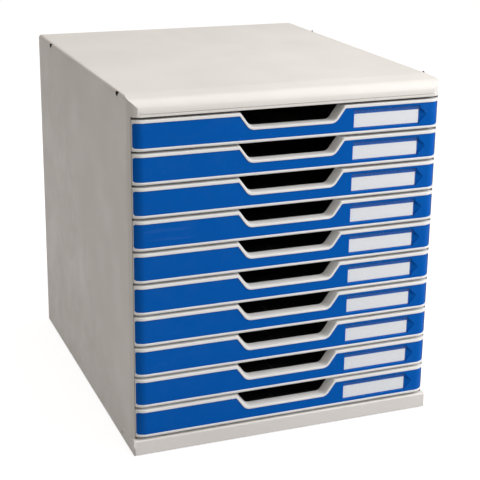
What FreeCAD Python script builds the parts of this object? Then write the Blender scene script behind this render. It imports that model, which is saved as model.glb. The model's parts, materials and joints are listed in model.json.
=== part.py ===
import FreeCAD, Part
import math
import os

# A desktop cabinet with ten drawers for A4 papers, in millimetres.
# X runs to the right, Y to the back and Z up. The origin lies under the middle of the cabinet, on the table.

# Overall sizes of the casing
case_width = 288.0
case_depth = 339.0
case_height = 320.0
corner_radius = 12.0
back_corner_radius = 3.0
side_wall = 2.2
plate_thickness = 2.4
skirt_height = 5.0
edge_radius = 2.0
cover_side_radius = 4.0

# Heights of what lies below, between and above the drawer fronts, which share out the rest
foot_height = 1.5
plinth_height = 14.0
drawer_count = 10
front_gap = 2.3
lip_height = 15.7

# Front lip of the cover and plinth of the base
lip_depth = 34.0
lip_round = 11.0
lip_crown_depth = 26.0
lip_crown_drop = 2.7
lip_crown_radius = 60.0
lip_wall = 2.2
lip_undercut = 0.8
bead_height = 1.5
bead_setback = 0.3
plinth_corner_radius = 2.0
plinth_top_radius = 1.6
plinth_bottom_radius = 1.2

# Ears with a pin hole, by which cover and base hold the side panels
ear_radius = 5.5
ear_hole_radius = 1.5
cover_ear_drop = 2.2
base_ear_rise = 5.7
front_ear_setback = 37.0
back_ear_setback = 58.0
ear_clearance = 0.1

# Ribs on the inside of the cover and the base
rib_thickness = 1.6
locating_rib_height = 6.0
locating_clearance = 0.3
rib_end_setback = 12.0
cross_rib_count = 3
cross_rib_height = 5.0
cross_rib_side_gap = 6.0

# Back panel and the ribs that hold it
back_thickness = 2.0
back_clearance = 0.2
back_retainer_depth = 3.0
back_field_border = 22.0
back_field_sink = 0.8
back_field_radius = 10.0

# Feet under the base
foot_length = 34.0
foot_width = 12.0
foot_side_inset = 3.0
foot_end_inset = 6.0
foot_seat_depth = 1.0
foot_chamfer = 2.5
foot_fit = 0.1

# Runner channels on the side panels, one for each drawer
channel_rib = 1.4
channel_opening = 4.2
lower_rib_reach = 7.6
upper_rib_reach = 5.2
channel_drop_on_front = 5.6
channel_front_gap = 0.3
channel_back_gap = 1.0
stop_length = 6.0
stop_drop = 1.3

# Drawer front: light grey hollow frame
front_side_gap = 0.4
frame_depth = 11.0
frame_wall = 1.7
rim = 2.6
end_rim = 0.4
scoop_rim = 2.1
plate_corner_cut = 1.3
end_wall = 3.0
frame_web_count = 3
frame_web_thickness = 1.2
frame_web_span = 220.0

# Scooped finger pull in the top edge of the front
scoop_top_width = 92.0
scoop_floor_width = 73.0
scoop_depth = 13.0
scoop_upper_radius = 2.1
scoop_lower_radius = 6.5

# Blue plate in the front frame
insert_sink = 0.5
insert_thickness = 2.6
insert_fit = 0.1
insert_tab_width = 5.0
insert_tab_height = 1.6
insert_tab_reach = 2.6
insert_tab_offset = 105.0
insert_tab_lift = 6.0

# Label pocket, its push-out notch, the card and the clear cover
label_centre_x = 89.5
label_width = 63.0
label_height = 12.0
label_lift = 5.7
card_thickness = 0.35
window_thickness = 0.7
pocket_depth = 1.8
pocket_border = 0.8
pocket_drop = 4.85
window_clearance = 0.15
notch_length = 7.0
notch_height = 15.0
notch_depth = 2.3

# Drawer tray
tray_wall = 1.8
tray_floor = 1.6
tray_lift = 1.0
tray_corner_radius = 7.0
tray_side_gap = 1.2
tray_back_gap = 2.0
front_wall_relief = 0.8
flange_thickness = 2.0
flange_side_gap = 1.0
lug_height = 1.5
lug_length = 8.0
drawer_travel = 235.0
plug_width = 16.0
plug_reach = 4.0
plug_offset = 88.0
plug_clearance = 0.15
floor_ridge_count = 3
floor_ridge_width = 2.4
floor_ridge_height = 0.6
floor_ridge_end_gap = 14.0

# How far a cutting body runs past the material
reach_past = 5.0

# Values worked out from the sizes above
half_width = case_width / 2
front_y = -case_depth / 2
back_y = case_depth / 2
inner_half_width = half_width - side_wall
base_bottom = foot_height
plinth_top = base_bottom + plinth_height
first_front_bottom = plinth_top + front_gap
case_top = case_height
lip_bottom = case_top - lip_height
drawer_pitch = (lip_bottom - first_front_bottom) / drawer_count
front_height = drawer_pitch - front_gap
panel_bottom = base_bottom + skirt_height
cover_ears = [(front_y + front_ear_setback, case_top - cover_ear_drop)]
cover_ears += [(back_y - back_ear_setback, case_top - cover_ear_drop)]
base_ears = [(front_y + front_ear_setback, base_bottom + base_ear_rise)]
panel_top = case_top - skirt_height
floor_top = base_bottom + plate_thickness
ceiling = case_top - plate_thickness
back_panel_far = back_y - side_wall - back_clearance
back_panel_near = back_panel_far - back_thickness
retainer_far = back_panel_near - back_clearance
retainer_near = retainer_far - rib_thickness
front_half_width = inner_half_width - front_side_gap
frame_back = front_y + frame_depth
recess_depth = insert_sink + insert_thickness
channel_near = frame_back + channel_front_gap
channel_far = retainer_near - channel_back_gap
stop_far = channel_near + stop_length
tray_half_width = inner_half_width - lower_rib_reach - tray_side_gap
tray_near = frame_back
tray_far = channel_far - tray_back_gap
channel_height_on_front = front_height - channel_drop_on_front
tray_top_on_front = channel_height_on_front + flange_thickness
insert_tab_middles = (-insert_tab_offset, insert_tab_offset)


def vec(x, y, z):
    return FreeCAD.Vector(x, y, z)


def box(x_range, y_range, z_range):
    """A block between two values along each axis."""
    size = [span[1] - span[0] for span in (x_range, y_range, z_range)]
    return Part.makeBox(size[0], size[1], size[2], vec(x_range[0], y_range[0], z_range[0]))


def rounded_face(corners):
    """A flat face in the XY plane through corners (x, y, radius), each rounded by its own radius."""
    count = len(corners)
    arcs = []
    for index in range(count):
        x, y, radius = corners[index]
        here = vec(x, y, 0)
        before = vec(corners[index - 1][0], corners[index - 1][1], 0)
        after = vec(corners[(index + 1) % count][0], corners[(index + 1) % count][1], 0)
        to_before = (before - here).normalize()
        to_after = (after - here).normalize()
        if radius == 0:
            arcs.append((here, None, here))
            continue
        half_angle = to_before.getAngle(to_after) / 2
        run = radius / math.tan(half_angle)
        inward = (to_before + to_after).normalize()
        middle = here + inward * (radius / math.sin(half_angle) - radius)
        arcs.append((here + to_before * run, middle, here + to_after * run))
    edges = []
    for index in range(count):
        start, middle, end = arcs[index]
        if middle is not None:
            edges.append(Part.Arc(start, middle, end).toShape())
        next_start = arcs[(index + 1) % count][0]
        if end.distanceToPoint(next_start) > Part.Precision.confusion():
            edges.append(Part.LineSegment(end, next_start).toShape())
    return Part.Face(Part.Wire(edges))


def plan_prism(corners, low, high):
    """Corners (x, y, radius) seen from above, raised from low to high."""
    face = rounded_face(corners)
    face.translate(vec(0, 0, low))
    return face.extrude(vec(0, 0, high - low))


def front_prism(corners, near, far):
    """Corners (x, z, radius) seen from the front, carried from near to far along Y."""
    face = rounded_face(corners)
    face.rotate(vec(0, 0, 0), vec(1, 0, 0), 90)
    face.translate(vec(0, near, 0))
    return face.extrude(vec(0, far - near, 0))


def side_prism(corners, left, right):
    """Corners (y, z, radius) seen from the side, carried from left to right along X."""
    face = rounded_face(corners)
    face.rotate(vec(0, 0, 0), vec(1, 1, 1), 120)
    face.translate(vec(left, 0, 0))
    return face.extrude(vec(right - left, 0, 0))


def fused(pieces):
    """One clean solid from pieces that meet."""
    return pieces[0].multiFuse(pieces[1:]).removeSplitter()


def mirrored_in_x(shape):
    return shape.mirror(vec(0, 0, 0), vec(1, 0, 0))


def save(name, shapes):
    """Write one node, of one solid or of several separate ones."""
    solids = []
    for shape in shapes:
        solids.extend(shape.Solids)
    for solid in solids:
        if not solid.isValid() or solid.Volume <= 0:
            raise ValueError("bad solid in " + name)
    node = solids[0] if len(solids) == 1 else Part.makeCompound(solids)
    node.exportStep(os.path.join("parts", name + ".step"))


def envelope(inset, low, high, outer_radius=corner_radius):
    """The cabinet's plan with its rounded front corners, drawn in by inset."""
    side = half_width - inset
    near = front_y + inset
    far = back_y - inset
    front_radius = max(outer_radius - inset, 0)
    back_radius = max(back_corner_radius - inset, 0)
    corners = [(-side, near, front_radius), (side, near, front_radius)]
    corners += [(side, far, back_radius), (-side, far, back_radius)]
    return plan_prism(corners, low, high)


def hidden_plan(inset, low, high):
    """The same plan for surfaces that stay out of sight: its front corners are cut straight."""
    side = half_width - inset
    near = front_y + inset
    far = back_y - inset
    cut = corner_radius - inset
    corners = [(-side, near + cut, 0), (cut - side, near, 0), (side - cut, near, 0)]
    corners += [(side, near + cut, 0), (side, far, 0), (-side, far, 0)]
    return plan_prism(corners, low, high)


# Casing

def discs_at(places, radius, start):
    """Round discs through the right side wall, one at each place (y, z)."""
    length = half_width - start
    return [Part.makeCylinder(radius, length, vec(start, y, z), vec(1, 0, 0)) for y, z in places]


def side_panel_right():
    """Wall, rounded front end, runner channels with stops, and the rib that holds the back panel."""
    cheek_far = front_y + lip_depth
    outline = [(cheek_far, panel_bottom, 0), (back_y, panel_bottom, 0), (back_y, panel_top, 0)]
    outline += [(cheek_far, panel_top, 0), (cheek_far, lip_bottom, 0), (front_y, lip_bottom, 0)]
    outline += [(front_y, plinth_top, 0), (cheek_far, plinth_top, 0)]
    wall = side_prism(outline, inner_half_width, half_width)
    wall = wall.common(envelope(0, panel_bottom, panel_top))
    for disc in discs_at(cover_ears + base_ears, ear_radius + ear_clearance, inner_half_width - reach_past):
        wall = wall.cut(disc)
    pieces = [wall]
    for row in range(drawer_count):
        lower_top = first_front_bottom + row * drawer_pitch + channel_height_on_front
        upper_bottom = lower_top + channel_opening
        lower_x = (inner_half_width - lower_rib_reach, inner_half_width)
        upper_x = (inner_half_width - upper_rib_reach, inner_half_width)
        along = (channel_near, channel_far)
        pieces.append(box(lower_x, along, (lower_top - channel_rib, lower_top)))
        pieces.append(box(upper_x, along, (upper_bottom, upper_bottom + channel_rib)))
        pieces.append(box(upper_x, (channel_near, stop_far), (upper_bottom - stop_drop, upper_bottom)))
    retainer_x = (inner_half_width - back_retainer_depth, inner_half_width)
    retainer_z = (panel_bottom + locating_rib_height, panel_top - locating_rib_height)
    pieces.append(box(retainer_x, (retainer_near, retainer_far), retainer_z))
    return fused(pieces)


def locating_rib_right(low, high):
    """A rib of the cover or base that stands just inside the right panel."""
    rib_far_x = inner_half_width - locating_clearance
    along = (front_y + lip_depth, back_panel_near - rib_end_setback)
    return box((rib_far_x - rib_thickness, rib_far_x), along, (low, high))


def cross_ribs(low, high):
    """Ribs across the plate of the cover or base, evenly spaced along its depth."""
    ribs = []
    end = inner_half_width - locating_clearance - rib_thickness - cross_rib_side_gap
    first = front_y + lip_depth
    spacing = (back_panel_near - first) / (cross_rib_count + 1)
    for index in range(cross_rib_count):
        middle = first + (index + 1) * spacing
        along = (middle - rib_thickness / 2, middle + rib_thickness / 2)
        ribs.append(box((-end, end), along, (low, high)))
    return ribs


def top_cover():
    """Lid with a rounded front lip, a low skirt, ears at its sides and ribs below."""
    cheek_far = front_y + lip_depth
    profile = [(front_y + bead_setback, lip_bottom, 0)]
    profile += [(front_y + bead_setback, lip_bottom + bead_height, 0)]
    groove = lip_bottom + bead_height + lip_undercut - bead_setback
    profile += [(front_y + lip_undercut, groove, 0), (front_y, groove + lip_undercut, 0)]
    profile += [(front_y, case_top - lip_crown_drop, lip_round)]
    profile += [(front_y + lip_crown_depth, case_top, lip_crown_radius)]
    profile += [(back_y, case_top, edge_radius), (back_y, panel_top, 0)]
    profile += [(cheek_far, panel_top, 0), (cheek_far, lip_bottom, 0)]
    outer = side_prism(profile, -half_width, half_width)
    outer = outer.common(envelope(0, lip_bottom, case_top))
    section = [(-half_width, lip_bottom, 0), (half_width, lip_bottom, 0)]
    section += [(half_width, case_top, cover_side_radius), (-half_width, case_top, cover_side_radius)]
    outer = outer.common(front_prism(section, front_y, back_y))
    right_ears = discs_at(cover_ears, ear_radius, inner_half_width)
    below_skirt = box((0, half_width), (front_y, back_y), (lip_bottom, panel_top + skirt_height / 2))
    right_ears = [disc.common(below_skirt) for disc in right_ears]
    inside = [(front_y + lip_wall + lip_undercut, lip_bottom - reach_past, 0)]
    inside += [(front_y + lip_wall + lip_undercut, ceiling - lip_crown_drop, lip_round - lip_wall)]
    inside += [(front_y + lip_crown_depth, ceiling, 0)]
    inside += [(back_y - side_wall, ceiling, 0), (back_y - side_wall, lip_bottom - reach_past, 0)]
    hollow = side_prism(inside, -inner_half_width, inner_half_width)
    hollow = hollow.common(hidden_plan(side_wall, lip_bottom - reach_past, ceiling))
    shell = outer.cut(hollow)
    rib_low = ceiling - locating_rib_height
    right_rib = locating_rib_right(rib_low, ceiling)
    pieces = [shell, right_rib, mirrored_in_x(right_rib)]
    pieces += right_ears
    pieces += [mirrored_in_x(ear) for ear in right_ears]
    pieces += cross_ribs(ceiling - cross_rib_height, ceiling)
    cover = fused(pieces)
    for hole in discs_at(cover_ears, ear_hole_radius, inner_half_width):
        cover = cover.cut(hole)
        cover = cover.cut(mirrored_in_x(hole))
    return cover


def foot_centres():
    """The middle of each foot, seen from above."""
    x = half_width - foot_side_inset - foot_width / 2
    y = back_y - foot_end_inset - foot_length / 2
    return [(-x, -y), (x, -y), (x, y), (-x, y)]


def foot_block(centre, clearance, low, high):
    """A pad with cut corners, grown by the clearance."""
    half_x = foot_width / 2 + clearance
    half_y = foot_length / 2 + clearance
    corners = []
    for side, end in ((-1, -1), (1, -1), (1, 1), (-1, 1)):
        along = (centre[0] + side * (half_x - foot_chamfer), centre[1] + end * half_y, 0)
        across = (centre[0] + side * half_x, centre[1] + end * (half_y - foot_chamfer), 0)
        corners += [along, across] if side == end * -1 else [across, along]
    return plan_prism(corners, low, high)


def base():
    """Floor with the front plinth, a low skirt, ears at its sides, ribs above and seats for the feet."""
    cheek_far = front_y + lip_depth
    profile = [(front_y, base_bottom, plinth_bottom_radius), (back_y, base_bottom, edge_radius)]
    profile += [(back_y, panel_bottom, 0), (cheek_far, panel_bottom, 0), (cheek_far, plinth_top, 0)]
    profile += [(front_y, plinth_top, plinth_top_radius)]
    outer = side_prism(profile, -half_width, half_width)
    outer = outer.common(envelope(0, base_bottom, plinth_top, plinth_corner_radius))
    inside = [(front_y + lip_wall, floor_top, 0), (back_y - side_wall, floor_top, 0)]
    inside += [(back_y - side_wall, panel_bottom + reach_past, 0)]
    inside += [(cheek_far + reach_past, panel_bottom + reach_past, 0)]
    inside += [(cheek_far + reach_past, plinth_top - lip_wall, 0)]
    inside += [(front_y + lip_wall, plinth_top - lip_wall, 0)]
    hollow = side_prism(inside, -inner_half_width, inner_half_width)
    shell = outer.cut(hollow)
    right_ears = discs_at(base_ears, ear_radius, inner_half_width)
    above_skirt = box((0, half_width), (front_y, back_y), (panel_bottom - skirt_height / 2, plinth_top))
    right_ears = [disc.common(above_skirt) for disc in right_ears]
    right_rib = locating_rib_right(floor_top, floor_top + locating_rib_height)
    pieces = [shell, right_rib, mirrored_in_x(right_rib)]
    pieces += right_ears
    pieces += [mirrored_in_x(ear) for ear in right_ears]
    pieces += cross_ribs(floor_top, floor_top + cross_rib_height)
    body = fused(pieces)
    for hole in discs_at(base_ears, ear_hole_radius, inner_half_width):
        body = body.cut(hole)
        body = body.cut(mirrored_in_x(hole))
    for centre in foot_centres():
        body = body.cut(foot_block(centre, foot_fit, base_bottom - reach_past, base_bottom + foot_seat_depth))
    return body


def feet():
    """Four pads that sit in the base and stand a little proud of it."""
    return [foot_block(centre, 0, 0, base_bottom + foot_seat_depth) for centre in foot_centres()]


def back_panel():
    """Flat moulding between the side panels with a shallow sunk field."""
    side = inner_half_width - back_clearance
    low = floor_top + back_clearance
    high = ceiling - back_clearance
    panel = box((-side, side), (back_panel_near, back_panel_far), (low, high))
    field = [(-side + back_field_border, low + back_field_border, back_field_radius)]
    field += [(side - back_field_border, low + back_field_border, back_field_radius)]
    field += [(side - back_field_border, high - back_field_border, back_field_radius)]
    field += [(-side + back_field_border, high - back_field_border, back_field_radius)]
    return panel.cut(front_prism(field, back_panel_far - back_field_sink, back_panel_far + reach_past))


# Drawer

def front_outline(bottom, inset, end_inset, scoop_inset, corner_cut):
    """The front seen from the front, drawn in at edges, ends and scoop, with its outer corners cut."""
    side = front_half_width - end_inset
    low = bottom + inset
    high = bottom + front_height - inset
    slope = (scoop_top_width - scoop_floor_width) / 2 / scoop_depth
    shift = scoop_inset * math.sqrt(1 + slope * slope)
    top_half = scoop_top_width / 2 + shift - inset * slope
    floor_half = scoop_floor_width / 2 + shift - scoop_inset * slope
    floor = bottom + front_height - scoop_depth - scoop_inset
    upper = max(scoop_upper_radius - scoop_inset, 0)
    lower = scoop_lower_radius + scoop_inset
    right_end = [(side, low, 0), (side, high, 0)]
    if corner_cut > 0:
        right_end = [(side - corner_cut, low, 0), (side, low + corner_cut, 0)]
        right_end += [(side, high - corner_cut, 0), (side - corner_cut, high, 0)]
    right_half = right_end + [(top_half, high, upper), (floor_half, floor, lower)]
    left_half = [(-x, z, radius) for x, z, radius in reversed(right_half)]
    return right_half + left_half


def cavity_outline(bottom):
    """The hollow of the front seen from behind, with plain corners."""
    side = front_half_width - end_wall
    low = bottom + frame_wall
    high = bottom + front_height - frame_wall
    floor = bottom + front_height - scoop_depth - frame_wall
    top_half = scoop_top_width / 2 + frame_wall
    floor_half = scoop_floor_width / 2 + frame_wall
    corners = [(-side, low, 0), (side, low, 0), (side, high, 0), (top_half, high, 0)]
    corners += [(floor_half, floor, 0), (-floor_half, floor, 0), (-top_half, high, 0), (-side, high, 0)]
    return corners


def front_frame(bottom):
    """Hollow grey front: rim round the blue plate, wall behind it, and the scoop's deep ledge."""
    high = bottom + front_height
    body = front_prism(front_outline(bottom, 0, 0, 0, 0), front_y, frame_back)
    body = body.common(envelope(0, bottom, high))
    outline = front_outline(bottom, rim, end_rim, scoop_rim, plate_corner_cut)
    recess = front_prism(outline, front_y - reach_past, frame_back)
    recess = recess.cut(hidden_plan(recess_depth, bottom - reach_past, high + reach_past))
    cavity = front_prism(cavity_outline(bottom), front_y, frame_back + reach_past)
    cavity = cavity.common(hidden_plan(recess_depth + frame_wall, bottom, high))
    spacing = frame_web_span / (frame_web_count - 1)
    for index in range(frame_web_count):
        middle = -frame_web_span / 2 + index * spacing
        web_x = (middle - frame_web_thickness / 2, middle + frame_web_thickness / 2)
        cavity = cavity.cut(box(web_x, (front_y, frame_back), (bottom, high)))
    frame = body.cut(recess).cut(cavity)
    for offset in insert_tab_middles:
        frame = frame.cut(insert_tab(bottom, offset, insert_fit))
    return frame


def insert_tab(bottom, offset, clearance):
    """A flat tab on the back of the blue plate, through the frame's wall, grown by the clearance."""
    half = insert_tab_width / 2 + clearance
    low = bottom + insert_tab_lift - clearance
    high = low + insert_tab_height + 2 * clearance
    near = front_y + recess_depth
    return box((offset - half, offset + half), (near, near + insert_tab_reach), (low, high))


def label_pocket(bottom):
    """The sunk field for card and cover, with a pointed thumb notch that ramps up at its right end."""
    half = label_width / 2 + pocket_border
    low = bottom + label_lift - pocket_border
    high = bottom + front_height - pocket_drop
    left = label_centre_x - half
    right = label_centre_x + half
    near = front_y - reach_past
    far = front_y + insert_sink + pocket_depth
    field = box((left, right), (near, far), (low, high))
    middle = (low + high) / 2
    notch = [(right - pocket_border, middle - notch_height / 2, 0), (right + notch_length, middle, 0)]
    notch += [(right - pocket_border, middle + notch_height / 2, 0)]
    surface = front_y + insert_sink
    tip = right + notch_length
    ramp = [(right - pocket_border, near, 0), (tip, near, 0), (tip, surface, 0)]
    ramp += [(right - pocket_border, surface + notch_depth, 0)]
    wedge = front_prism(notch, near, surface + notch_depth).common(plan_prism(ramp, low, high))
    return field.fuse(wedge)


def front_insert(bottom):
    """Blue plate in the frame, curved back at both ends as the frame is."""
    high = bottom + front_height
    outline = front_outline(bottom, rim + insert_fit, end_rim + insert_fit, scoop_rim + insert_fit,
                            plate_corner_cut)
    plate = front_prism(outline, front_y, frame_back)
    plate = plate.common(envelope(insert_sink, bottom, high))
    plate = plate.cut(hidden_plan(recess_depth, bottom - reach_past, high + reach_past))
    plate = plate.cut(label_pocket(bottom))
    tabs = [insert_tab(bottom, offset, 0) for offset in insert_tab_middles]
    return fused([plate] + tabs)


def label_card(bottom):
    """White card on the floor of the pocket."""
    half = label_width / 2
    floor = front_y + insert_sink + pocket_depth
    low = bottom + label_lift
    return box((label_centre_x - half, label_centre_x + half), (floor - card_thickness, floor),
               (low, low + label_height))


def label_window(bottom):
    """Clear cover over the card, which fills the pocket."""
    half = label_width / 2 + pocket_border - window_clearance
    far = front_y + insert_sink + pocket_depth - card_thickness
    low = bottom + label_lift - pocket_border + window_clearance
    high = bottom + front_height - pocket_drop - window_clearance
    return box((label_centre_x - half, label_centre_x + half), (far - window_thickness, far), (low, high))


def tray_plan(inset, near_inset):
    """The tray's plan with rounded back corners, drawn in by inset and at the front by near_inset."""
    side = tray_half_width - inset
    radius = tray_corner_radius - inset
    near = tray_near + near_inset
    far = tray_far - inset
    return [(-side, near, 0), (side, near, 0), (side, far, radius), (-side, far, radius)]


def flange_right(bottom):
    """The flange that slides in the right channel, with the lug that meets the stop."""
    outer_x = inner_half_width - flange_side_gap
    low = bottom + channel_height_on_front
    high = low + flange_thickness
    flange_x = (tray_half_width - tray_wall, outer_x)
    flange = box(flange_x, (channel_near, tray_far - tray_corner_radius), (low, high))
    lug_near = stop_far + drawer_travel
    lug_x = (inner_half_width - upper_rib_reach + flange_side_gap / 2, outer_x)
    lug = box(lug_x, (lug_near, lug_near + lug_length), (high, high + lug_height))
    return flange.fuse(lug)


def tray(bottom):
    """Open box with flanges, stop lugs, a front wall cut down behind the scoop, and plugs into the frame."""
    low = bottom + tray_lift
    high = bottom + tray_top_on_front
    shell = plan_prism(tray_plan(0, 0), low, high)
    shell = shell.cut(plan_prism(tray_plan(tray_wall, tray_wall), low + tray_floor, high + reach_past))
    above_scoop = front_prism(scoop_cut(bottom), tray_near - reach_past, tray_near + reach_past)
    shell = shell.cut(above_scoop)
    right_flange = flange_right(bottom)
    pieces = [shell, right_flange, mirrored_in_x(right_flange)]
    for side in (-1, 1):
        middle = side * plug_offset
        plug_x = (middle - plug_width / 2, middle + plug_width / 2)
        plug_low = bottom + frame_wall + plug_clearance
        plug_high = bottom + front_height - frame_wall - plug_clearance
        pieces.append(box(plug_x, (tray_near - plug_reach, tray_near), (plug_low, plug_high)))
    floor_low = low + tray_floor / 2
    floor_high = low + tray_floor + floor_ridge_height
    ridge_y = (tray_near + floor_ridge_end_gap, tray_far - floor_ridge_end_gap)
    spacing = 2 * tray_half_width / (floor_ridge_count + 1)
    for index in range(floor_ridge_count):
        middle = -tray_half_width + (index + 1) * spacing
        ridge_x = (middle - floor_ridge_width / 2, middle + floor_ridge_width / 2)
        pieces.append(box(ridge_x, ridge_y, (floor_low, floor_high)))
    return fused(pieces)


def scoop_cut(bottom):
    """The opening above the front wall, a little wider and deeper than the frame's scoop."""
    high = bottom + front_height
    floor = high - scoop_depth - front_wall_relief
    top_half = scoop_top_width / 2 + front_wall_relief
    floor_half = scoop_floor_width / 2 + front_wall_relief
    return [(-top_half, high, 0), (-floor_half, floor, 0), (floor_half, floor, 0), (top_half, high, 0)]


def main():
    os.makedirs("parts", exist_ok=True)
    right_panel = side_panel_right()
    save("right_side_panel", [right_panel])
    save("left_side_panel", [mirrored_in_x(right_panel)])
    save("top_cover", [top_cover()])
    save("base", [base()])
    save("back_panel", [back_panel()])
    save("feet", feet())
    top_front_bottom = first_front_bottom + (drawer_count - 1) * drawer_pitch
    for number in range(1, drawer_count + 1):
        bottom = top_front_bottom - (number - 1) * drawer_pitch
        prefix = "drawer_%02d_" % number
        save(prefix + "tray", [tray(bottom)])
        save(prefix + "front_frame", [front_frame(bottom)])
        save(prefix + "front_insert", [front_insert(bottom)])
        save(prefix + "label_card", [label_card(bottom)])
        save(prefix + "label_window", [label_window(bottom)])


main()
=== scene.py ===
import json
import math

import bmesh
import bpy
from bpy.props import FloatProperty, FloatVectorProperty, PointerProperty
from mathutils import Matrix, Vector

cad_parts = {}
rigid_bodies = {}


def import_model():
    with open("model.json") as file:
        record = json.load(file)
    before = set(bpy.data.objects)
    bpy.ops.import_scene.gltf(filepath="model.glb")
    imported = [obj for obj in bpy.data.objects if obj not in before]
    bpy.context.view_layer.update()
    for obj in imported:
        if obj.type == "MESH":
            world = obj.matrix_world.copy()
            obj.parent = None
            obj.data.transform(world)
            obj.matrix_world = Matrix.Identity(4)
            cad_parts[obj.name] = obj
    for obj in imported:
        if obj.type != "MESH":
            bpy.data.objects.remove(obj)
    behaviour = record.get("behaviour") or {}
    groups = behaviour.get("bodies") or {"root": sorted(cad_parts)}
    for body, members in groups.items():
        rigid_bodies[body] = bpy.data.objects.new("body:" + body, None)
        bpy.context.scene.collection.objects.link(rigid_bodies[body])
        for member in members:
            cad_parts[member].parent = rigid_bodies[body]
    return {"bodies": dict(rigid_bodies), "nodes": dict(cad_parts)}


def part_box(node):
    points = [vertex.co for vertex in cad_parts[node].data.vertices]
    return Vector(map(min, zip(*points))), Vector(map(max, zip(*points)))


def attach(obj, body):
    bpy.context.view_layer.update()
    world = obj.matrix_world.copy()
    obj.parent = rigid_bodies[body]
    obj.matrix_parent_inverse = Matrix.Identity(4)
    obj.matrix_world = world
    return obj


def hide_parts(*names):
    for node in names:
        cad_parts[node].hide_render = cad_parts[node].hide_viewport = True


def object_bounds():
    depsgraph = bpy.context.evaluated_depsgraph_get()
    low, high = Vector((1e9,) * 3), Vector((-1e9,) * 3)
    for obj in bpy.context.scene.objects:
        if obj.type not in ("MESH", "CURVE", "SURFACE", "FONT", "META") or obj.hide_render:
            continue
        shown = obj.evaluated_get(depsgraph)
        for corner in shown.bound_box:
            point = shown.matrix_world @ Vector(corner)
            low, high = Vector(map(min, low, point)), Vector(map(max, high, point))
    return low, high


bl_info = {
    "name": "Desktop drawer cabinet",
    "version": (1, 0, 0),
    "blender": (4, 5, 0),
    "location": "3D View > Sidebar > Cabinet",
    "description": "Finishes a desktop cabinet with ten scooped drawers and sets up its studio",
    "category": "Object",
}

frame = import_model()
cad_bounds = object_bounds()
FRONT_PLANE = cad_bounds[0][1]

CASING_NODES = ("left_side_panel", "right_side_panel", "top_cover", "base")
DRAWERS = sorted(name for name in frame["bodies"] if name.startswith("drawer_"))

# How a copied mesh is cleaned, and which of its edges are rounded
MERGE_DISTANCE = 2e-6
FLAT_ANGLE = math.radians(0.6)
SHARP_ANGLE = math.radians(32)
SAME_LEVEL = 1e-5
RIM_DEPTH = 0.009

# Where a scoop's sides open to the front, from the middle outwards: from nothing to full, and back again
FLARE_START = 0.024
FLARE_FULL = 0.034
FLARE_FADES = 0.051
FLARE_END = 0.0555

# The holes in the ears of the top cover: below its top, behind its front and before its back
PIN_DROP = 0.0022
PIN_FRONT = 0.037
PIN_BACK = 0.058

# A pin: the length of its shaft, the shaft's radius as a share of the head's, the share of the head's height
# that is sunk in the hole, and the corners of its rings
PIN_SHAFT = 0.0022
PIN_NECK = 0.66
PIN_SUNK = 0.1
PIN_CORNERS = 24

# Its head, ring by ring from the shaft: each ring's rise as a share of the height, and its change of width
PIN_HEAD = ((0.0, 1.5), (0.45, 1.0), (0.35, 0.8), (0.2, 0.55))

# What the plastics share: the tone of rubbed places, the dust, the grain, and how marks change the roughness
WHITE = (1.0, 1.0, 1.0)
DUST_COLOUR = (0.55, 0.53, 0.5)
PLASTIC_IOR = 1.49
PALE_SHARE = 0.35
GRAIN_STRENGTH = 0.35
SMUDGE_POLISH = 0.09
WEAR_POLISH = 0.12
DUST_MATTNESS = 0.2

# The clear cover: how much of it shows where it is clean, and how much more where it is scratched
COVER_SHOWS = 0.03
SCRATCH_SHOWS = 0.1
SCRATCH_MATTNESS = 0.3


def tint(red, green, blue):
    """A colour as seen on a screen, 0 to 255, turned into the linear values of a material."""
    values = []
    for level in (red, green, blue):
        part = level / 255.0
        values.append(part / 12.92 if part <= 0.04045 else ((part + 0.055) / 1.055) ** 2.4)
    return tuple(values)


# Settings that a user may change

class CabinetSizes(bpy.types.PropertyGroup):
    """Roundings and the sizes of small forms"""
    casing_edge: FloatProperty(name="Casing edge", description="Rounding of the casing's moulded edges",
                               default=0.00012, min=0.0, unit="LENGTH", subtype="DISTANCE")
    front_edge: FloatProperty(name="Front edge", description="Rounding of the edges of the grey fronts",
                              default=0.0004, min=0.0, unit="LENGTH", subtype="DISTANCE")
    lower_edge: FloatProperty(name="Lower edge", description="Rounding under the rim of the grey fronts",
                              default=0.0013, min=0.0001, unit="LENGTH", subtype="DISTANCE")
    plate_edge: FloatProperty(name="Plate edge", description="Rounding of the edges of the blue plates",
                              default=0.00025, min=0.0, unit="LENGTH", subtype="DISTANCE")
    tray_edge: FloatProperty(name="Tray edge", description="Rounding of the edges of the trays",
                             default=0.0003, min=0.0, unit="LENGTH", subtype="DISTANCE")
    label_edge: FloatProperty(name="Label edge", description="Rounding of the card and of its clear cover",
                              default=0.00012, min=0.0, unit="LENGTH", subtype="DISTANCE")
    foot_edge: FloatProperty(name="Foot edge", description="Rounding of the edges of the foot pads",
                             default=0.0003, min=0.0, unit="LENGTH", subtype="DISTANCE")
    shortest: FloatProperty(name="Shortest edge", description="Shorter edges of the casing stay sharp",
                            default=0.0005, min=0.0, unit="LENGTH", subtype="DISTANCE")
    scoop_flare: FloatProperty(name="Scoop flare", description="How far a scoop's side opens to the front",
                               default=0.0022, min=0.0, unit="LENGTH", subtype="DISTANCE")
    flare_depth: FloatProperty(name="Flare depth", description="Depth over which the scoop opens",
                               default=0.011, min=0.001, unit="LENGTH", subtype="DISTANCE")
    cover_gap: FloatProperty(name="Cover gap", description="Air between a card and its clear cover",
                             default=0.0001, min=0.0, unit="LENGTH", subtype="DISTANCE")
    pin_radius: FloatProperty(name="Pin radius", description="Radius of the pin heads in the cover's ears",
                              default=0.0021, min=0.0005, unit="LENGTH", subtype="DISTANCE")
    pin_height: FloatProperty(name="Pin height", description="Height of the pin heads in the cover's ears",
                              default=0.0009, min=0.0001, unit="LENGTH", subtype="DISTANCE")


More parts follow.
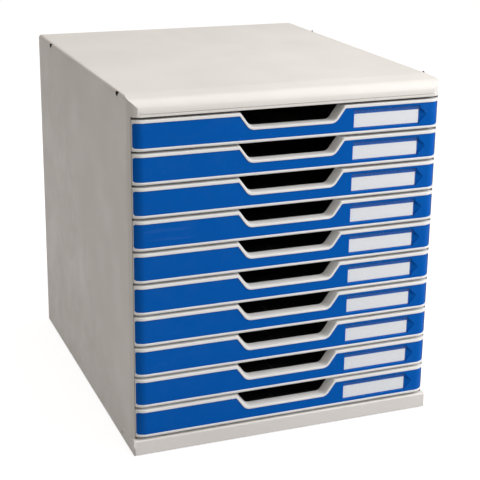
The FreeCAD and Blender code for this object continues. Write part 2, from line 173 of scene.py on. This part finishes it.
class CabinetFinishes(bpy.types.PropertyGroup):
    """Colours of the materials and the fineness of their grain"""
    casing: FloatVectorProperty(name="Casing", description="Colour of the casing", subtype="COLOR",
                                default=tint(231, 228, 225), min=0.0, max=1.0)
    back: FloatVectorProperty(name="Back panel", description="Colour of the back panel", subtype="COLOR",
                              default=tint(224, 221, 217), min=0.0, max=1.0)
    front: FloatVectorProperty(name="Drawer front", description="Colour of the grey drawer fronts",
                               subtype="COLOR", default=tint(243, 243, 243), min=0.0, max=1.0)
    plate: FloatVectorProperty(name="Blue plate", description="Colour of the plates in the drawer fronts",
                               subtype="COLOR", default=tint(0, 93, 187), min=0.0, max=1.0)
    tray: FloatVectorProperty(name="Tray", description="Colour of the trays", subtype="COLOR",
                              default=tint(30, 30, 32), min=0.0, max=1.0)
    card: FloatVectorProperty(name="Card", description="Colour of the label cards", subtype="COLOR",
                              default=tint(246, 250, 255), min=0.0, max=1.0)
    cover: FloatVectorProperty(name="Clear cover", description="Tint of the clear label covers",
                               subtype="COLOR", default=tint(232, 238, 248), min=0.0, max=1.0)
    foot: FloatVectorProperty(name="Foot", description="Colour of the foot pads", subtype="COLOR",
                              default=tint(38, 38, 38), min=0.0, max=1.0)
    pin: FloatVectorProperty(name="Pin", description="Colour of the pins in the cover's ears",
                             subtype="COLOR", default=tint(30, 27, 25), min=0.0, max=1.0)
    grain_scale: FloatProperty(name="Grain scale", description="Fineness of the mouldings' matt grain",
                               default=2600.0, min=1.0)


class CabinetStudio(bpy.types.PropertyGroup):
    """Camera, floor and lights"""
    camera_place: FloatVectorProperty(name="Camera place", description="Where the camera stands", size=3,
                                      default=(-0.41090, -1.09439, 0.52799), unit="LENGTH",
                                      subtype="TRANSLATION")
    camera_turn: FloatVectorProperty(name="Camera turn", description="How the camera is turned", size=3,
                                     default=(1.27476, -0.01203, -0.37032), unit="ROTATION",
                                     subtype="EULER")
    lens: FloatProperty(name="Lens", description="Focal length in millimetres on a 36 mm sensor",
                        default=91.704, min=1.0)
    shift: FloatProperty(name="Shift", description="Vertical shift of the lens, as a share of the picture",
                         default=-0.0792)
    floor: FloatVectorProperty(name="Floor", description="Colour of the floor", subtype="COLOR",
                               default=(0.5, 0.5, 0.5), min=0.0, max=1.0)
    key_power: FloatProperty(name="Key light", description="Power of the large light at the right",
                             default=26.0, min=0.0, unit="POWER")
    top_power: FloatProperty(name="Top light", description="Power of the light above",
                             default=10.0, min=0.0, unit="POWER")
    sky: FloatProperty(name="Sky", description="Strength of the even light all round",
                       default=0.35, min=0.0)
    sky_colour: FloatVectorProperty(name="Sky colour", description="Colour of the even light all round",
                                    subtype="COLOR", default=(1.0, 0.92, 0.825), min=0.0, max=1.0)


# Shader node groups, each built once

def shader_group(name, inputs, outputs):
    """An empty shader group with its sockets, and its input and output nodes."""
    group = bpy.data.node_groups.new(name, "ShaderNodeTree")
    for label, kind, value in inputs:
        socket = group.interface.new_socket(name=label, in_out="INPUT", socket_type=kind)
        socket.default_value = value
    for label, kind in outputs:
        group.interface.new_socket(name=label, in_out="OUTPUT", socket_type=kind)
    return group, group.nodes.new("NodeGroupInput"), group.nodes.new("NodeGroupOutput")


def add(tree, kind, **settings):
    """A new node with its settings."""
    node = tree.nodes.new(kind)
    for name, value in settings.items():
        setattr(node, name, value)
    return node


def calculate(tree, operation, first, second, clamp=False):
    """A Math node fed by links or plain numbers."""
    node = add(tree, "ShaderNodeMath", operation=operation, use_clamp=clamp)
    for socket, value in ((node.inputs[0], first), (node.inputs[1], second)):
        if isinstance(value, bpy.types.NodeSocket):
            tree.links.new(value, socket)
        else:
            socket.default_value = value
    return node.outputs[0]


def noise(tree, place, scale, detail, stretch=None):
    """A noise pattern over the piece's own coordinates, stretched along an axis if asked."""
    if stretch is not None:
        mapping = add(tree, "ShaderNodeMapping")
        mapping.inputs["Scale"].default_value = stretch
        tree.links.new(place, mapping.inputs["Vector"])
        place = mapping.outputs["Vector"]
    node = add(tree, "ShaderNodeTexNoise")
    node.inputs["Detail"].default_value = detail
    if isinstance(scale, bpy.types.NodeSocket):
        tree.links.new(scale, node.inputs["Scale"])
    else:
        node.inputs["Scale"].default_value = scale
    tree.links.new(place, node.inputs["Vector"])
    return node.outputs["Fac"]


def spread(tree, value, low, high, to_low=0.0, to_high=1.0):
    """Stretches a value from one range to another, held at its ends."""
    node = add(tree, "ShaderNodeMapRange", clamp=True)
    tree.links.new(value, node.inputs["Value"])
    for label, number in (("From Min", low), ("From Max", high), ("To Min", to_low), ("To Max", to_high)):
        if isinstance(number, bpy.types.NodeSocket):
            tree.links.new(number, node.inputs[label])
        else:
            node.inputs[label].default_value = number
    return node.outputs["Result"]


def blend_colours(tree, share, first, second):
    """Mixes two colours by a mask."""
    node = add(tree, "ShaderNodeMix", data_type="RGBA")
    tree.links.new(share, node.inputs["Factor"])
    for socket, value in ((node.inputs[6], first), (node.inputs[7], second)):
        if isinstance(value, bpy.types.NodeSocket):
            tree.links.new(value, socket)
        else:
            socket.default_value = (*value, 1.0)
    return node.outputs[2]


def moulding_grain_group():
    """Spark-eroded grain of a moulded surface: a height for bump and a fine speckle."""
    group, entry, result = shader_group(
        "Moulding grain", [("Scale", "NodeSocketFloat", 2600.0)],
        [("Height", "NodeSocketFloat"), ("Speckle", "NodeSocketFloat")])
    pebble_scale = 0.55
    fine_height = 0.6
    pebble_height = 0.5
    place = add(group, "ShaderNodeTexCoord").outputs["Object"]
    fine = noise(group, place, entry.outputs["Scale"], detail=3.0)
    pebble = add(group, "ShaderNodeTexVoronoi", feature="SMOOTH_F1")
    group.links.new(place, pebble.inputs["Vector"])
    group.links.new(calculate(group, "MULTIPLY", entry.outputs["Scale"], pebble_scale),
                    pebble.inputs["Scale"])
    height = calculate(group, "ADD", calculate(group, "MULTIPLY", fine, fine_height),
                       calculate(group, "MULTIPLY", pebble.outputs["Distance"], pebble_height))
    group.links.new(height, result.inputs["Height"])
    group.links.new(spread(group, fine, low=0.35, high=0.65), result.inputs["Speckle"])
    return group


def flow_shade_group():
    """Slow cloudy change of tone, as in a large moulding: a value round 0.5."""
    group, entry, result = shader_group("Flow shade", [("Scale", "NodeSocketFloat", 9.0)],
                                        [("Tone", "NodeSocketFloat")])
    streak_scale = 4.0
    cloud_share = 0.7
    streak_share = 0.3
    place = add(group, "ShaderNodeTexCoord").outputs["Object"]
    cloud = noise(group, place, entry.outputs["Scale"], detail=3.0)
    finer = calculate(group, "MULTIPLY", entry.outputs["Scale"], streak_scale)
    streak = noise(group, place, finer, detail=2.0, stretch=(1.0, 0.25, 1.6))
    tone = calculate(group, "ADD", calculate(group, "MULTIPLY", cloud, cloud_share),
                     calculate(group, "MULTIPLY", streak, streak_share))
    group.links.new(spread(group, tone, low=0.3, high=0.7), result.inputs["Tone"])
    return group


def edge_wear_group():
    """Where edges stand proud and are rubbed pale: a mask broken up by noise."""
    group, entry, result = shader_group(
        "Edge wear", [("Amount", "NodeSocketFloat", 0.5)], [("Mask", "NodeSocketFloat")])
    place = add(group, "ShaderNodeTexCoord").outputs["Object"]
    pointiness = add(group, "ShaderNodeNewGeometry").outputs["Pointiness"]
    proud = spread(group, pointiness, low=0.52, high=0.62)
    patches = spread(group, noise(group, place, scale=70.0, detail=4.0), low=0.42, high=0.68)
    mask = calculate(group, "MULTIPLY", proud, patches)
    group.links.new(calculate(group, "MULTIPLY", mask, entry.outputs["Amount"], clamp=True),
                    result.inputs["Mask"])
    return group


def handling_group():
    """Faint rubbing from hands and sliding: a mask of smudges and hairline scratches."""
    group, entry, result = shader_group(
        "Handling marks", [("Scratches", "NodeSocketFloat", 0.5)],
        [("Smudge", "NodeSocketFloat"), ("Scratch", "NodeSocketFloat")])
    place = add(group, "ShaderNodeTexCoord").outputs["Object"]
    smudge = spread(group, noise(group, place, scale=26.0, detail=5.0), low=0.45, high=0.75)
    lines = noise(group, place, scale=240.0, detail=1.0, stretch=(1.0, 0.04, 1.0))
    cross = noise(group, place, scale=210.0, detail=1.0, stretch=(0.05, 1.0, 1.0))
    hair = calculate(group, "MAXIMUM", spread(group, lines, low=0.72, high=0.76),
                     spread(group, cross, low=0.73, high=0.77))
    patches = spread(group, noise(group, place, scale=14.0, detail=2.0), low=0.5, high=0.62)
    scratch = calculate(group, "MULTIPLY", calculate(group, "MULTIPLY", hair, patches),
                        entry.outputs["Scratches"], clamp=True)
    group.links.new(smudge, result.inputs["Smudge"])
    group.links.new(scratch, result.inputs["Scratch"])
    return group


def settled_dust_group():
    """Fine dust on faces that look up: a mask."""
    group, entry, result = shader_group("Settled dust", [("Amount", "NodeSocketFloat", 0.3)],
                                        [("Mask", "NodeSocketFloat")])
    place = add(group, "ShaderNodeTexCoord").outputs["Object"]
    facing = add(group, "ShaderNodeSeparateXYZ")
    group.links.new(add(group, "ShaderNodeNewGeometry").outputs["Normal"], facing.inputs["Vector"])
    upward = spread(group, facing.outputs["Z"], low=0.6, high=1.0)
    specks = spread(group, noise(group, place, scale=900.0, detail=2.0), low=0.5, high=0.72)
    drift = spread(group, noise(group, place, scale=18.0, detail=3.0), low=0.35, high=0.7)
    mask = calculate(group, "MULTIPLY", calculate(group, "MULTIPLY", specks, drift), upward)
    group.links.new(calculate(group, "MULTIPLY", mask, entry.outputs["Amount"], clamp=True),
                    result.inputs["Mask"])
    return group


def paper_fibre_group():
    """Short crossed fibres of uncoated card: a height and a tone."""
    group, entry, result = shader_group("Paper fibre", [("Scale", "NodeSocketFloat", 1500.0)],
                                        [("Height", "NodeSocketFloat"), ("Tone", "NodeSocketFloat")])
    place = add(group, "ShaderNodeTexCoord").outputs["Object"]
    along = noise(group, place, entry.outputs["Scale"], detail=3.0, stretch=(0.25, 1.0, 1.0))
    across = noise(group, place, entry.outputs["Scale"], detail=3.0, stretch=(1.0, 1.0, 0.25))
    fibre = calculate(group, "MAXIMUM", along, across)
    group.links.new(fibre, result.inputs["Height"])
    group.links.new(spread(group, fibre, low=0.45, high=0.75), result.inputs["Tone"])
    return group


def group_node(tree, group, **values):
    """Places a group in a material and sets its inputs."""
    node = add(tree, "ShaderNodeGroup", node_tree=group)
    for label, value in values.items():
        node.inputs[label].default_value = value
    return node


GROUPS = {}


def shared(name, maker):
    """A shader group that is made the first time it is asked for."""
    if name not in GROUPS:
        GROUPS[name] = maker()
    return GROUPS[name]


def new_material(name):
    """A new material with its node tree and its main shader."""
    material = bpy.data.materials.new(name)
    material.use_nodes = True
    return material, material.node_tree, material.node_tree.nodes["Principled BSDF"]


def add_bump(tree, shader, height, strength, depth):
    """Gives a shader the relief of a height pattern."""
    bump = add(tree, "ShaderNodeBump")
    bump.inputs["Strength"].default_value = strength
    bump.inputs["Distance"].default_value = depth
    tree.links.new(height, bump.inputs["Height"])
    tree.links.new(bump.outputs["Normal"], shader.inputs["Normal"])


def moulded_plastic(name, colour, roughness, depth, wear, scratches, dust, grain=1.0, gloss=0.5,
                    shade=0.06, speckle=0.06):
    """Grained plastic with a slow change of tone, rubbed edges, handling marks and a little dust."""
    material, tree, shader = new_material(name)
    finishes = bpy.context.scene.cabinet_finishes
    grained = group_node(tree, shared("grain", moulding_grain_group), Scale=finishes.grain_scale * grain)
    flow = group_node(tree, shared("flow", flow_shade_group), Scale=9.0)
    worn = group_node(tree, shared("wear", edge_wear_group), Amount=wear)
    marks = group_node(tree, shared("marks", handling_group), Scratches=scratches)
    dusty = group_node(tree, shared("dust", settled_dust_group), Amount=dust)
    colour = Vector(colour)
    pale = colour.lerp(Vector(WHITE), PALE_SHARE)
    toned = blend_colours(tree, flow.outputs["Tone"], colour * (1.0 - shade), colour * (1.0 + shade / 2))
    speckles = calculate(tree, "MULTIPLY", grained.outputs["Speckle"], speckle)
    speckled = blend_colours(tree, speckles, toned, pale)
    rubbed = blend_colours(tree, worn.outputs["Mask"], speckled, pale)
    scratched = blend_colours(tree, marks.outputs["Scratch"], rubbed, pale)
    dusted = blend_colours(tree, dusty.outputs["Mask"], scratched, DUST_COLOUR)
    tree.links.new(dusted, shader.inputs["Base Color"])
    smudged = spread(tree, marks.outputs["Smudge"], low=0.0, high=1.0, to_low=roughness,
                     to_high=roughness - SMUDGE_POLISH)
    polished = calculate(tree, "SUBTRACT", smudged,
                         calculate(tree, "MULTIPLY", worn.outputs["Mask"], WEAR_POLISH))
    matted = calculate(tree, "ADD", polished,
                       calculate(tree, "MULTIPLY", dusty.outputs["Mask"], DUST_MATTNESS), clamp=True)
    tree.links.new(matted, shader.inputs["Roughness"])
    add_bump(tree, shader, grained.outputs["Height"], GRAIN_STRENGTH, depth)
    shader.inputs["Specular IOR Level"].default_value = gloss
    shader.inputs["IOR"].default_value = PLASTIC_IOR
    return material


def card_material(name, colour):
    """Uncoated card with fibres."""
    material, tree, shader = new_material(name)
    fibre = group_node(tree, shared("fibre", paper_fibre_group), Scale=1500.0)
    flow = group_node(tree, shared("flow", flow_shade_group), Scale=30.0)
    between_fibres = Vector(colour) * 0.95
    aged_colour = Vector(colour) * 0.9
    age = 0.15
    toned = blend_colours(tree, fibre.outputs["Tone"], between_fibres, colour)
    aged = blend_colours(tree, calculate(tree, "MULTIPLY", flow.outputs["Tone"], age), toned, aged_colour)
    tree.links.new(aged, shader.inputs["Base Color"])
    rough = spread(tree, fibre.outputs["Tone"], low=0.0, high=1.0, to_low=0.82, to_high=0.95)
    tree.links.new(rough, shader.inputs["Roughness"])
    add_bump(tree, shader, fibre.outputs["Height"], strength=0.15, depth=0.00003)
    shader.inputs["Specular IOR Level"].default_value = 0.3
    return material


def clear_material(name, colour):
    """Thin clear plastic with faint smudges and scratches."""
    material, tree, shader = new_material(name)
    marks = group_node(tree, shared("marks", handling_group), Scratches=0.25)
    flow = group_node(tree, shared("flow", flow_shade_group), Scale=24.0)
    clouded = Vector(colour) * 0.96
    tree.links.new(blend_colours(tree, flow.outputs["Tone"], clouded, colour), shader.inputs["Base Color"])
    smudged = spread(tree, marks.outputs["Smudge"], low=0.0, high=1.0, to_low=0.07, to_high=0.16)
    matted = calculate(tree, "MULTIPLY", marks.outputs["Scratch"], SCRATCH_MATTNESS)
    tree.links.new(calculate(tree, "ADD", smudged, matted, clamp=True), shader.inputs["Roughness"])
    whitened = calculate(tree, "MULTIPLY", marks.outputs["Scratch"], SCRATCH_SHOWS)
    tree.links.new(calculate(tree, "ADD", whitened, COVER_SHOWS), shader.inputs["Alpha"])
    shader.inputs["Specular IOR Level"].default_value = 0.25
    shader.inputs["IOR"].default_value = PLASTIC_IOR
    return material


# Finished pieces

def only(piece):
    """Selects this piece alone and makes it active."""
    if bpy.context.mode != "OBJECT":
        bpy.ops.object.mode_set(mode="OBJECT")
    bpy.ops.object.select_all(action="DESELECT")
    piece.select_set(True)
    bpy.context.view_layer.objects.active = piece


def apply_all(piece):
    """Applies the modifiers of a piece in their order."""
    only(piece)
    for modifier in list(piece.modifiers):
        bpy.ops.object.modifier_apply(modifier=modifier.name)


def mark_sharp_edges(mesh, shortest, share, bottom):
    """Gives the sharp edges that are long enough this bevel weight, and those under the rim full weight."""
    shape = bmesh.new()
    shape.from_mesh(mesh)
    weight = shape.edges.layers.float.new("bevel_weight_edge")
    for edge in shape.edges:
        if edge.calc_face_angle(0.0) > SHARP_ANGLE and edge.calc_length() >= shortest:
            lowest = all(abs(end.co.z - bottom) < SAME_LEVEL for end in edge.verts)
            ahead = all(end.co.y < FRONT_PLANE + RIM_DEPTH for end in edge.verts)
            edge[weight] = 1.0 if lowest and ahead else share
    shape.to_mesh(mesh)
    shape.free()


def clamped(value):
    """Keeps a value between 0 and 1."""
    return min(max(value, 0.0), 1.0)


def flare_scoop(mesh):
    """Opens the sides of the scoop towards the front, evenly through whatever lies there."""
    sizes = bpy.context.scene.cabinet_sizes
    for vertex in mesh.vertices:
        across = abs(vertex.co.x)
        inner = clamped((across - FLARE_START) / (FLARE_FULL - FLARE_START))
        outer = clamped((FLARE_END - across) / (FLARE_END - FLARE_FADES))
        ahead = clamped(1.0 - (vertex.co.y - FRONT_PLANE) / sizes.flare_depth)
        vertex.co.x += math.copysign(sizes.scoop_flare * inner * outer * ahead, vertex.co.x)


def finished_copy(node, name, edge, shortest=0.0, scooped=False, lower_edge=None):
    """A merged copy of a node's mesh, its flat faces cleaned, its edges rounded and its shading evened."""
    piece = bpy.data.objects.new(name, frame["nodes"][node].data.copy())
    piece.data.name = name
    piece.data.materials.clear()
    bpy.context.scene.collection.objects.link(piece)
    only(piece)
    bpy.ops.object.mode_set(mode="EDIT")
    bpy.ops.mesh.select_all(action="SELECT")
    bpy.ops.mesh.remove_doubles(threshold=MERGE_DISTANCE)
    bpy.ops.mesh.dissolve_limited(angle_limit=FLAT_ANGLE)
    if scooped:
        bpy.ops.object.mode_set(mode="OBJECT")
        flare_scoop(piece.data)
        bpy.ops.object.mode_set(mode="EDIT")
        bpy.ops.mesh.select_all(action="SELECT")
    bpy.ops.mesh.quads_convert_to_tris(quad_method="BEAUTY", ngon_method="BEAUTY")
    bpy.ops.object.mode_set(mode="OBJECT")
    bpy.ops.object.shade_smooth()
    width = lower_edge or edge
    mark_sharp_edges(piece.data, shortest, edge / width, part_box(node)[0][2])
    bevel = piece.modifiers.new("Edges", "BEVEL")
    bevel.width = width
    bevel.segments = 2
    bevel.limit_method = "WEIGHT"
    bevel.use_clamp_overlap = False
    bevel.miter_outer = "MITER_ARC"
    weighted = piece.modifiers.new("Shading", "WEIGHTED_NORMAL")
    weighted.mode = "FACE_AREA"
    weighted.weight = 100
    apply_all(piece)
    return piece


def settle(piece, node, material, body):
    """Gives a finished piece its material and its place in the moving model."""
    piece.data.materials.append(material)
    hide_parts(node)
    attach(piece, body)


def copies_down(first, name_ending, node_ending, material):
    """Settles the top drawer's piece, and a copy with its own mesh in each drawer below."""
    top_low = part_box(DRAWERS[0] + "_" + node_ending)[0]
    for drawer in DRAWERS[1:]:
        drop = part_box(drawer + "_" + node_ending)[0][2] - top_low[2]
        copy = bpy.data.objects.new(drawer + "_" + name_ending, first.data.copy())
        copy.data.name = copy.name
        copy.data.transform(Matrix.Translation((0.0, 0.0, drop)))
        bpy.context.scene.collection.objects.link(copy)
        copy.data.materials.clear()
        settle(copy, drawer + "_" + node_ending, material, drawer)
    settle(first, DRAWERS[0] + "_" + node_ending, material, DRAWERS[0])


class CABINET_OT_casing(bpy.types.Operator):
    """Finishes side panels, top cover and base"""
    bl_idname = "cabinet.casing"
    bl_label = "Casing"

    def execute(self, context):
        sizes = context.scene.cabinet_sizes
        finishes = context.scene.cabinet_finishes
        material = moulded_plastic("Casing plastic", finishes.casing, roughness=0.52, depth=0.00006,
                                   wear=0.35, scratches=0.12, dust=0.1)
        for node in CASING_NODES:
            piece = finished_copy(node, node + "_finished", sizes.casing_edge, sizes.shortest)
            settle(piece, node, material, "casing")
        return {"FINISHED"}


class CABINET_OT_back_panel(bpy.types.Operator):
    """Finishes the back panel"""
    bl_idname = "cabinet.back_panel"
    bl_label = "Back panel"

    def execute(self, context):
        sizes = context.scene.cabinet_sizes
        finishes = context.scene.cabinet_finishes
        material = moulded_plastic("Back plastic", finishes.back, roughness=0.58, depth=0.00008,
                                   wear=0.3, scratches=0.2, dust=0.05, grain=0.8)
        piece = finished_copy("back_panel", "back_panel_finished", sizes.casing_edge)
        settle(piece, "back_panel", material, "casing")
        return {"FINISHED"}


class CABINET_OT_feet(bpy.types.Operator):
    """Finishes the foot pads"""
    bl_idname = "cabinet.feet"
    bl_label = "Feet"

    def execute(self, context):
        sizes = context.scene.cabinet_sizes
        finishes = context.scene.cabinet_finishes
        material = moulded_plastic("Foot rubber", finishes.foot, roughness=0.85, depth=0.0001,
                                   wear=0.2, scratches=0.2, dust=0.3, grain=0.6, gloss=0.3, shade=0.15)
        piece = finished_copy("feet", "feet_finished", sizes.foot_edge)
        settle(piece, "feet", material, "casing")
        return {"FINISHED"}


class CABINET_OT_pins(bpy.types.Operator):
    """Models the domed heads of the pins that hold the top cover's ears"""
    bl_idname = "cabinet.pins"
    bl_label = "Pins"

    def execute(self, context):
        sizes = context.scene.cabinet_sizes
        finishes = context.scene.cabinet_finishes
        material = moulded_plastic("Pin plastic", finishes.pin, roughness=0.7, depth=0.00005,
                                   wear=0.0, scratches=0.0, dust=0.0, gloss=0.1, speckle=0.01)
        cad_low, cad_high = cad_bounds
        height = cad_high[2] - PIN_DROP
        bpy.ops.object.select_all(action="DESELECT")
        bpy.ops.mesh.primitive_circle_add(vertices=PIN_CORNERS, radius=sizes.pin_radius * PIN_NECK,
                                          fill_type="NGON", rotation=(0.0, math.radians(-90), 0.0))
        first = bpy.context.object
        bpy.ops.object.transform_apply(location=True, rotation=True, scale=True)
        bpy.ops.object.mode_set(mode="EDIT")
        bpy.ops.mesh.select_all(action="SELECT")
        steps = [(PIN_SHAFT - sizes.pin_height * PIN_SUNK, 1.0)]
        steps += [(sizes.pin_height * share, width) for share, width in PIN_HEAD]
        for reach, width in steps:
            bpy.ops.mesh.extrude_region_move(TRANSFORM_OT_translate={"value": (-reach, 0.0, 0.0)})
            bpy.ops.transform.resize(value=(1.0, width, width))
        bpy.ops.mesh.select_all(action="SELECT")
        bpy.ops.mesh.remove_doubles(threshold=MERGE_DISTANCE)
        bpy.ops.mesh.normals_make_consistent(inside=False)
        bpy.ops.object.mode_set(mode="OBJECT")
        bpy.ops.object.shade_smooth_by_angle(angle=math.radians(35))
        first.data.transform(Matrix.Translation((cad_low[0] + PIN_SHAFT, 0.0, height)))
        for side, turn in (("left", 0.0), ("right", math.pi)):
            for end, along in (("front", cad_low[1] + PIN_FRONT), ("back", cad_high[1] - PIN_BACK)):
                pin = bpy.data.objects.new("pin_%s_%s" % (side, end), first.data.copy())
                pin.data.name = pin.name
                pin.data.transform(Matrix.Rotation(turn, 4, "Z"))
                pin.data.transform(Matrix.Translation((0.0, along, 0.0)))
                context.scene.collection.objects.link(pin)
                pin.data.materials.append(material)
                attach(pin, "casing")
        bpy.data.objects.remove(first)
        return {"FINISHED"}


class CABINET_OT_trays(bpy.types.Operator):
    """Finishes the trays of all drawers"""
    bl_idname = "cabinet.trays"
    bl_label = "Trays"

    def execute(self, context):
        sizes = context.scene.cabinet_sizes
        finishes = context.scene.cabinet_finishes
        material = moulded_plastic("Tray plastic", finishes.tray, roughness=0.5, depth=0.00008,
                                   wear=0.4, scratches=0.35, dust=0.12, grain=0.8, shade=0.12)
        piece = finished_copy(DRAWERS[0] + "_tray", DRAWERS[0] + "_tray_finished", sizes.tray_edge,
                              scooped=True)
        copies_down(piece, "tray_finished", "tray", material)
        return {"FINISHED"}


class CABINET_OT_fronts(bpy.types.Operator):
    """Finishes the hollow grey fronts of all drawers"""
    bl_idname = "cabinet.fronts"
    bl_label = "Drawer fronts"

    def execute(self, context):
        sizes = context.scene.cabinet_sizes
        finishes = context.scene.cabinet_finishes
        material = moulded_plastic("Front plastic", finishes.front, roughness=0.5, depth=0.00006,
                                   wear=0.4, scratches=0.1, dust=0.08)
        piece = finished_copy(DRAWERS[0] + "_front_frame", DRAWERS[0] + "_front_finished", sizes.front_edge,
                              scooped=True, lower_edge=sizes.lower_edge)
        copies_down(piece, "front_finished", "front_frame", material)
        return {"FINISHED"}


class CABINET_OT_plates(bpy.types.Operator):
    """Finishes the blue plates of all drawers"""
    bl_idname = "cabinet.plates"
    bl_label = "Blue plates"

    def execute(self, context):
        sizes = context.scene.cabinet_sizes
        finishes = context.scene.cabinet_finishes
        material = moulded_plastic("Blue plastic", finishes.plate, roughness=0.45, depth=0.00004,
                                   wear=0.06, scratches=0.03, dust=0.02, gloss=0.03, shade=0.05,
                                   speckle=0.01)
        piece = finished_copy(DRAWERS[0] + "_front_insert", DRAWERS[0] + "_plate_finished",
                              sizes.plate_edge, scooped=True)
        copies_down(piece, "plate_finished", "front_insert", material)
        return {"FINISHED"}


class CABINET_OT_labels(bpy.types.Operator):
    """Finishes the label cards and their clear covers"""
    bl_idname = "cabinet.labels"
    bl_label = "Labels"

    def execute(self, context):
        sizes = context.scene.cabinet_sizes
        finishes = context.scene.cabinet_finishes
        paper = card_material("Label card", finishes.card)
        clear = clear_material("Clear cover", finishes.cover)
        card = finished_copy(DRAWERS[0] + "_label_card", DRAWERS[0] + "_card_finished",
                             sizes.label_edge / 2)
        low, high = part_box(DRAWERS[0] + "_label_card")
        for vertex in card.data.vertices:
            if vertex.co.y < (low[1] + high[1]) / 2:
                vertex.co.y += sizes.cover_gap
        copies_down(card, "card_finished", "label_card", paper)
        cover = finished_copy(DRAWERS[0] + "_label_window", DRAWERS[0] + "_cover_finished",
                              sizes.label_edge)
        copies_down(cover, "cover_finished", "label_window", clear)
        return {"FINISHED"}


# Studio

def area_light(name, place, target, size, power):
    """A square soft light that looks at a point."""
    light = bpy.data.lights.new(name, "AREA")
    light.shape = "SQUARE"
    light.size = size
    light.energy = power
    lamp = bpy.data.objects.new(name, light)
    lamp.location = place
    lamp.rotation_euler = (Vector(target) - Vector(place)).to_track_quat("-Z", "Y").to_euler()
    bpy.context.scene.collection.objects.link(lamp)


def floor_material(colour):
    """Pale matt floor that shows white to the camera and keeps the cabinet's shadow."""
    material, tree, shader = new_material("Studio floor")
    place = add(tree, "ShaderNodeTexCoord").outputs["Object"]
    tone = noise(tree, place, scale=3.0, detail=2.0)
    shaded = Vector(colour) * 0.985
    glow = 0.82
    tree.links.new(blend_colours(tree, tone, shaded, colour), shader.inputs["Base Color"])
    shader.inputs["Roughness"].default_value = 0.95
    shader.inputs["Specular IOR Level"].default_value = 0.0
    rays = add(tree, "ShaderNodeLightPath")
    seen = calculate(tree, "MAXIMUM", rays.outputs["Is Camera Ray"], rays.outputs["Is Glossy Ray"])
    seen = calculate(tree, "MAXIMUM", seen, rays.outputs["Is Transmission Ray"])
    shader.inputs["Emission Color"].default_value = (*WHITE, 1.0)
    tree.links.new(calculate(tree, "MULTIPLY", seen, glow), shader.inputs["Emission Strength"])
    return material


class CABINET_OT_studio(bpy.types.Operator):
    """Builds the floor, the lights and the camera"""
    bl_idname = "cabinet.studio"
    bl_label = "Studio"

    def execute(self, context):
        studio = context.scene.cabinet_studio
        bpy.ops.object.select_all(action="DESELECT")
        bpy.ops.mesh.primitive_plane_add(size=40.0, location=(0.0, 0.0, 0.0))
        floor = context.object
        floor.name = "studio_floor"
        floor.data.materials.append(floor_material(studio.floor))

        world = bpy.data.worlds.new("Studio sky")
        world.use_nodes = True
        tree = world.node_tree
        background = tree.nodes["Background"]
        rays = add(tree, "ShaderNodeLightPath")
        seen = calculate(tree, "MAXIMUM", rays.outputs["Is Camera Ray"],
                         rays.outputs["Is Transmission Ray"])
        tree.links.new(blend_colours(tree, seen, studio.sky_colour, WHITE), background.inputs["Color"])
        strength = spread(tree, seen, low=0.0, high=1.0, to_low=studio.sky, to_high=1.0)
        tree.links.new(strength, background.inputs["Strength"])
        context.scene.world = world

        area_light("Key light", place=(1.15, -1.0, 1.25), target=(0.05, -0.05, 0.16), size=1.1,
                   power=studio.key_power)
        area_light("Top light", place=(0.25, -0.1, 1.9), target=(0.0, 0.0, 0.16), size=1.4,
                   power=studio.top_power)

        camera_data = bpy.data.cameras.new("Camera")
        camera_data.lens = studio.lens
        camera_data.sensor_width = 36.0
        camera_data.shift_y = studio.shift
        camera_data.clip_end = 100.0
        camera = bpy.data.objects.new("Camera", camera_data)
        camera.location = studio.camera_place
        camera.rotation_euler = studio.camera_turn
        context.scene.collection.objects.link(camera)
        context.scene.camera = camera
        context.scene.view_settings.view_transform = "Standard"
        return {"FINISHED"}


class CABINET_PT_panel(bpy.types.Panel):
    """Lists the steps that finish the cabinet"""
    bl_idname = "CABINET_PT_panel"
    bl_label = "Drawer cabinet"
    bl_space_type = "VIEW_3D"
    bl_region_type = "UI"
    bl_category = "Cabinet"

    def draw(self, context):
        for settings in (context.scene.cabinet_sizes, context.scene.cabinet_finishes,
                         context.scene.cabinet_studio):
            box = self.layout.box()
            for name in settings.__annotations__:
                box.prop(settings, name)
        for step in STEPS:
            self.layout.operator(step.bl_idname)


STEPS = (CABINET_OT_studio, CABINET_OT_casing, CABINET_OT_back_panel, CABINET_OT_feet, CABINET_OT_pins,
         CABINET_OT_trays, CABINET_OT_fronts, CABINET_OT_plates, CABINET_OT_labels)
CLASSES = (CabinetSizes, CabinetFinishes, CabinetStudio) + STEPS + (CABINET_PT_panel,)


def register():
    """Makes the classes and their settings known to Blender."""
    for each in CLASSES:
        bpy.utils.register_class(each)
    bpy.types.Scene.cabinet_sizes = PointerProperty(type=CabinetSizes)
    bpy.types.Scene.cabinet_finishes = PointerProperty(type=CabinetFinishes)
    bpy.types.Scene.cabinet_studio = PointerProperty(type=CabinetStudio)


def unregister():
    """Takes the settings and classes away again."""
    del bpy.types.Scene.cabinet_studio
    del bpy.types.Scene.cabinet_finishes
    del bpy.types.Scene.cabinet_sizes
    for each in reversed(CLASSES):
        bpy.utils.unregister_class(each)


def main():
    """Builds the stage and every finished piece."""
    register()
    bpy.ops.cabinet.studio()
    bpy.ops.cabinet.casing()
    bpy.ops.cabinet.back_panel()
    bpy.ops.cabinet.feet()
    bpy.ops.cabinet.pins()
    bpy.ops.cabinet.trays()
    bpy.ops.cabinet.fronts()
    bpy.ops.cabinet.plates()
    bpy.ops.cabinet.labels()
    bpy.ops.object.select_all(action="DESELECT")
    bpy.context.view_layer.update()


if __name__ == "__main__":
    main()
